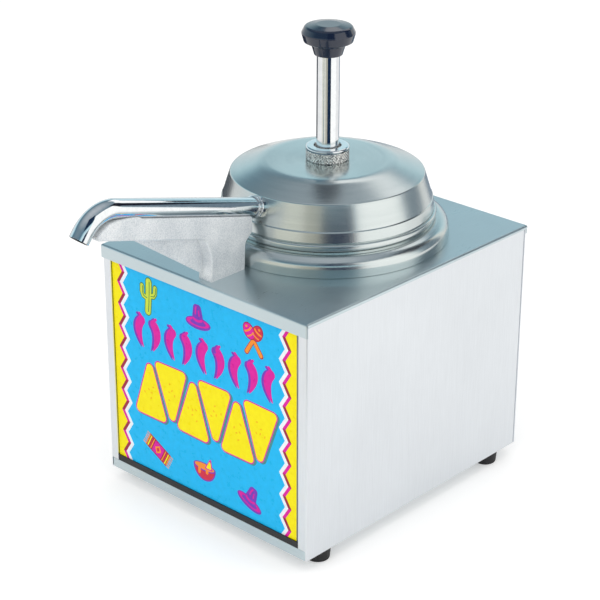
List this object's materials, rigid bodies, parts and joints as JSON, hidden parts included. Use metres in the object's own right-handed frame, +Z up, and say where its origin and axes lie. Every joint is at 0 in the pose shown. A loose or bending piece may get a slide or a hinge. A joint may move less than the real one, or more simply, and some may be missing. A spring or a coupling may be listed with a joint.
{
  "type": "heated pump dispenser",
  "caption": "Countertop heated sauce dispenser: sheet-metal housing with a lit front panel, round water well, domed lid, plunger pump and a cast arm that warms the spout.",
  "frame": {"origin": "on the counter, under the middle of the whole outline, spout and rear dial included", "axes": "+X to the right seen from the front, -Y towards the front where the sign and the spout are, +Z up"},
  "size_m": [0.2348, 0.4274, 0.402],
  "materials": {
    "brushed_steel": "brushed stainless sheet",
    "side_steel": "fine brushed stainless sheet",
    "spun_steel": "spun and polished stainless",
    "polished_steel": "mirror polished stainless tube",
    "cast_alloy": "as-cast, lightly blasted",
    "black_plastic": "moulded, glossy",
    "black_trim": "matte black extrusion",
    "pump_plastic": "food-grade white",
    "rubber": "moulded rubber",
    "printed_sign": "translucent printed sheet",
    "glass": "frosted lamp envelope",
    "brass": "plain brass",
    "copper": "bare copper",
    "ceramic": "glazed lamp socket",
    "white_paint": "white baked enamel",
    "zinc_screw": "plated fastener",
    "heater_sheath": "heat-darkened sheath",
    "amber_lens": "clear amber"
  },
  "bodies": {
    "housing": {"top_cover": "brushed_steel", "base_pan": "brushed_steel", "rear_panel": "side_steel", "rear_panel_screws": "zinc_screw", "rubber_feet": "rubber", "foot_screws": "zinc_screw", "sign_channel": "black_trim", "sign_frame": "black_trim", "lamp_bulb": "glass", "lamp_cap": "brass", "lamp_socket": "ceramic", "lamp_bracket": "zinc_screw", "light_shield": "white_paint", "water_vessel": "spun_steel", "vessel_stud": "zinc_screw", "heating_element": "heater_sheath", "heater_plate": "zinc_screw", "heater_nut": "zinc_screw", "spout_warmer_arm": "cast_alloy", "spout_heater": "heater_sheath", "arm_screws": "zinc_screw", "thermostat_body": "black_trim", "thermostat_bulb": "copper", "thermostat_capillary": "copper", "bulb_clip": "zinc_screw", "switch_bezel": "black_trim", "pilot_light": "amber_lens", "cord_bushing": "black_trim", "terminal_block": "pump_plastic", "left_side_panel": "side_steel", "right_side_panel": "side_steel"},
    "sign": {"sign_panel": "printed_sign"},
    "jar": {"inset_jar": "spun_steel"},
    "pump": {"pump_lid": "spun_steel", "tube_ring": "polished_steel", "pump_cylinder": "polished_steel", "plunger_bush": "pump_plastic", "discharge_tube": "polished_steel", "valve_body": "pump_plastic", "return_spring": "zinc_screw"},
    "plunger": {"plunger_tube": "polished_steel", "piston": "pump_plastic", "piston_seal": "rubber", "knob_stud": "zinc_screw", "plunger_knob": "black_plastic"},
    "nut": {"lock_nut": "polished_steel"},
    "inlet_valve": {"inlet_ball": "polished_steel"},
    "outlet_valve": {"outlet_ball": "polished_steel"},
    "dial": {"thermostat_shaft": "zinc_screw", "thermostat_dial": "black_plastic"},
    "rocker": {"switch_rocker": "black_plastic"}
  },
  "joints": [
    {"name": "sign_lift", "type": "slide", "parent": "housing", "child": "sign", "axis": [0, 0, 1], "range_m": [0, 0.005]},
    {"name": "jar_lift", "type": "slide", "parent": "housing", "child": "jar", "axis": [0, 0, 1], "range_m": [0, 0.2]},
    {"name": "pump_lift", "type": "slide", "parent": "jar", "child": "pump", "axis": [0, 0, 1], "range_m": [0, 0.18]},
    {"name": "plunger_stroke", "type": "slide", "parent": "pump", "child": "plunger", "axis": [0, 0, -1], "range_m": [0, 0.066], "stiffness_N_per_m": 300, "springref_m": -0.03, "deforming": ["return_spring"]},
    {"name": "nut_turn", "type": "hinge", "parent": "pump", "child": "nut", "pos_m": [0, 0.06473, 0.29], "axis": [0, 0, 1], "range_deg": [0, 360]},
    {"name": "inlet_valve_lift", "type": "slide", "parent": "pump", "child": "inlet_valve", "axis": [0, 0, 1], "range_m": [0, 0.0025]},
    {"name": "outlet_valve_lift", "type": "slide", "parent": "pump", "child": "outlet_valve", "axis": [0, 0, 1], "range_m": [0, 0.0015]},
    {"name": "dial_turn", "type": "hinge", "parent": "housing", "child": "dial", "pos_m": [0.084, 0.18973, 0.108], "axis": [0, 1, 0], "range_deg": [0, 270]},
    {"name": "rocker_tip", "type": "hinge", "parent": "housing", "child": "rocker", "pos_m": [0.084, 0.19073, 0.152], "axis": [1, 0, 0], "range_deg": [-16, 0]}
  ]
}
